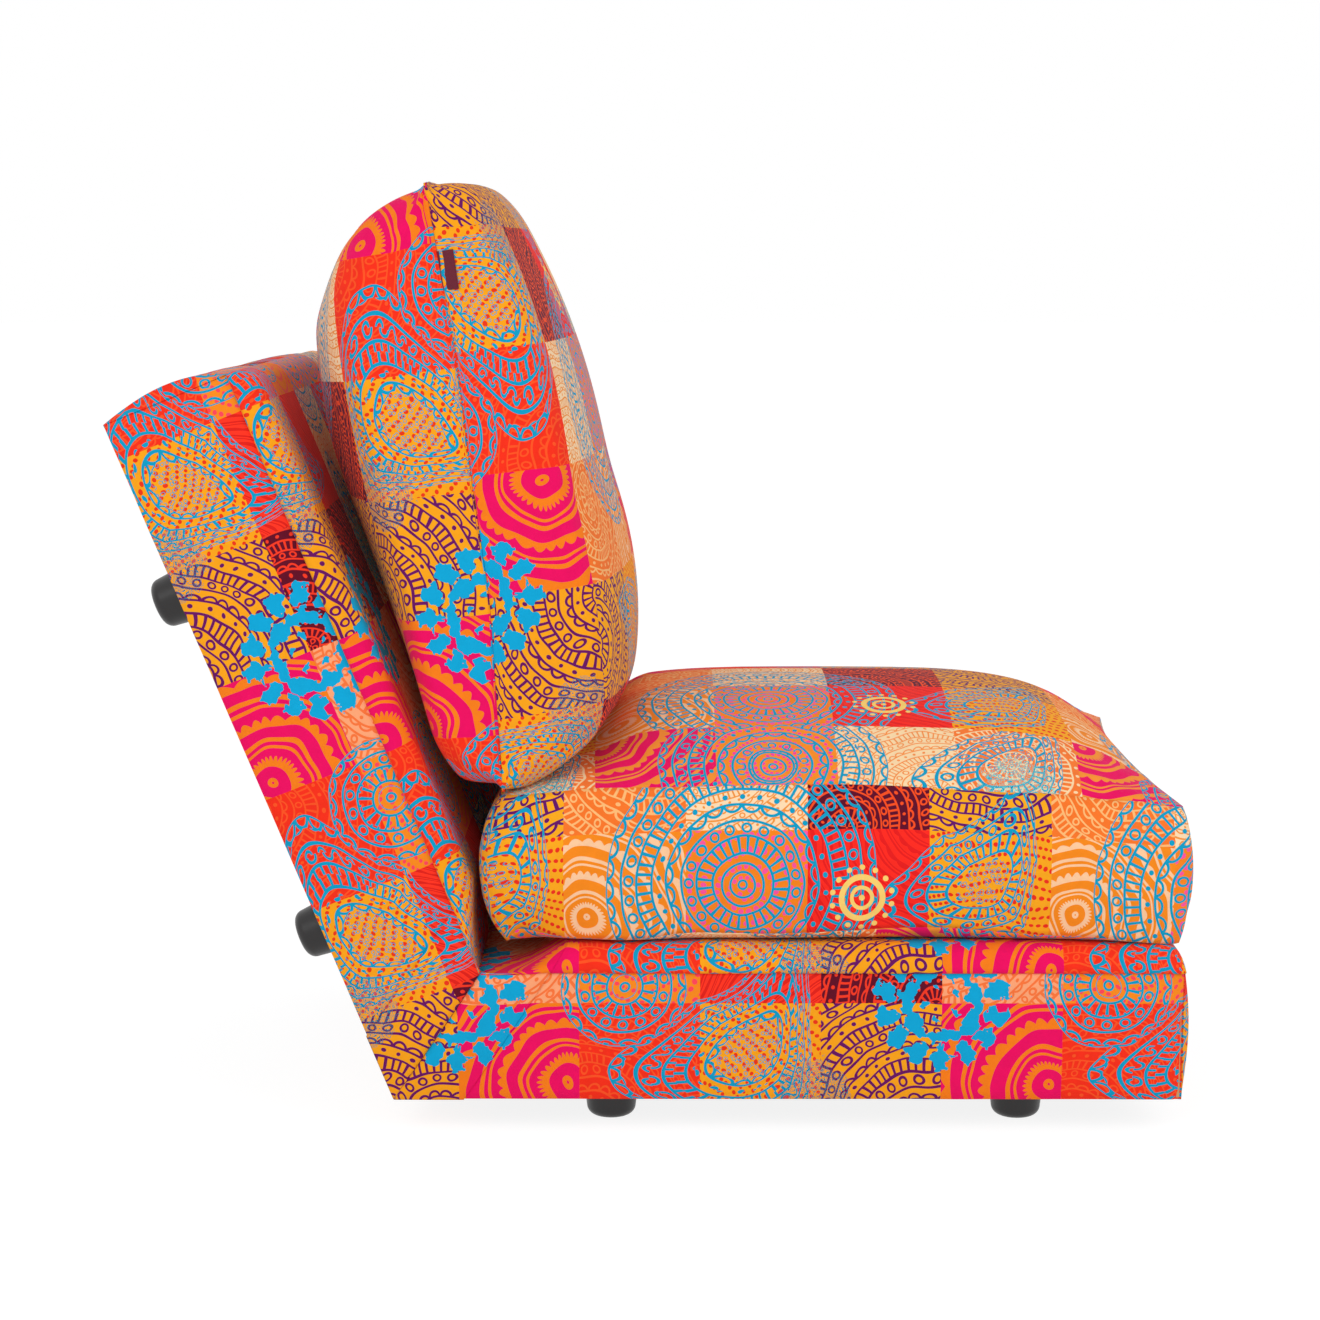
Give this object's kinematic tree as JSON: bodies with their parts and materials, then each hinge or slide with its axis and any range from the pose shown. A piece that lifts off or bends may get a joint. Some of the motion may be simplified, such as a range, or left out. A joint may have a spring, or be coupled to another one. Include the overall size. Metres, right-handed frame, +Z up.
{
  "type": "convertible armchair",
  "caption": "Armless upholstered chair that unfolds into a single bed: two hinged padded sections on short feet, with a loose seat cushion and a loose back cushion.",
  "frame": {"origin": "on the floor, at the centre of the chair's bounding box", "axes": "+X towards the front of the seat, +Y across the chair, +Z up"},
  "size_m": [1.2928, 0.7, 1.1407],
  "materials": {
    "print_cloth": "woven cotton, printed in a patchwork of warm squares",
    "lining": "black non-woven cloth",
    "tab_cloth": "plain maroon woven ribbon",
    "zip_tape": "woven tape with nylon teeth",
    "foam": "open-cell polyurethane foam",
    "pine": "sawn pine",
    "birch": "birch plywood",
    "black_plastic": "moulded black polypropylene, satin",
    "zinc_steel": "zinc plated",
    "zip_metal": "nickel plated"
  },
  "bodies": {
    "base": {"base_cover_strip_end": "print_cloth", "base_cover_strip_left": "print_cloth", "base_cover_strip_right": "print_cloth", "base_cover_top": "print_cloth", "base_cover_under": "lining", "base_foam": "foam", "base_foot_board_front": "pine", "base_foot_board_rear": "pine", "base_foot_front_left": "black_plastic", "base_foot_front_right": "black_plastic", "base_foot_rear_left": "black_plastic", "base_foot_rear_right": "black_plastic", "base_foot_screws": "zinc_steel", "base_hinge_bolts": "zinc_steel", "base_rail_end": "pine", "base_rail_fold": "pine", "base_rail_left": "pine", "base_rail_right": "pine", "base_slats": "birch", "fold_cover": "print_cloth", "hinge_fork_left": "zinc_steel", "hinge_fork_right": "zinc_steel", "hinge_pawls": "zinc_steel", "hinge_pin_left": "zinc_steel", "hinge_pin_right": "zinc_steel"},
    "back": {"back_cover_strip_end": "print_cloth", "back_cover_strip_left": "print_cloth", "back_cover_strip_right": "print_cloth", "back_cover_top": "print_cloth", "back_cover_under": "lining", "back_foam": "foam", "back_foot_board_lower": "pine", "back_foot_board_upper": "pine", "back_foot_lower_left": "black_plastic", "back_foot_lower_right": "black_plastic", "back_foot_screws": "zinc_steel", "back_foot_upper_left": "black_plastic", "back_foot_upper_right": "black_plastic", "back_hinge_bolts": "zinc_steel", "back_rail_end": "pine", "back_rail_fold": "pine", "back_rail_left": "pine", "back_rail_right": "pine", "back_slats": "birch", "hinge_plate_left": "zinc_steel", "hinge_plate_right": "zinc_steel"},
    "seat_cushion": {"seat_core": "foam", "seat_cover_bottom": "print_cloth", "seat_cover_gusset": "print_cloth", "seat_cover_top": "print_cloth", "seat_zip": "zip_tape"},
    "seat_slider": {"seat_zip_pull": "zip_metal", "seat_zip_slider": "zip_metal"},
    "back_cushion": {"pillow_cover_front": "print_cloth", "pillow_cover_rear": "print_cloth", "pillow_filling": "foam", "pillow_tab": "tab_cloth", "pillow_zip": "zip_tape"},
    "pillow_slider": {"pillow_zip_pull": "zip_metal", "pillow_zip_slider": "zip_metal"}
  },
  "joints": [
    {"name": "back_fold", "type": "hinge", "parent": "base", "child": "back", "pos_m": [-0.29924, 0, 0.07516], "axis": [0, -1, 0], "range_deg": [0, 68], "deforming": ["fold_cover"]},
    {"name": "seat_cushion_pull", "type": "slide", "parent": "base", "child": "seat_cushion", "axis": [1, 0, 0], "range_m": [0, 0.9]},
    {"name": "back_cushion_lift", "type": "slide", "parent": "back", "child": "back_cushion", "axis": [0, 0, 1], "range_m": [0, 0.75]},
    {"name": "seat_zip_run", "type": "slide", "parent": "seat_cushion", "child": "seat_slider", "axis": [0, 1, 0], "range_m": [0, 0.524]},
    {"name": "pillow_zip_run", "type": "slide", "parent": "back_cushion", "child": "pillow_slider", "axis": [0, 1, 0], "range_m": [0, 0.404]}
  ]
}
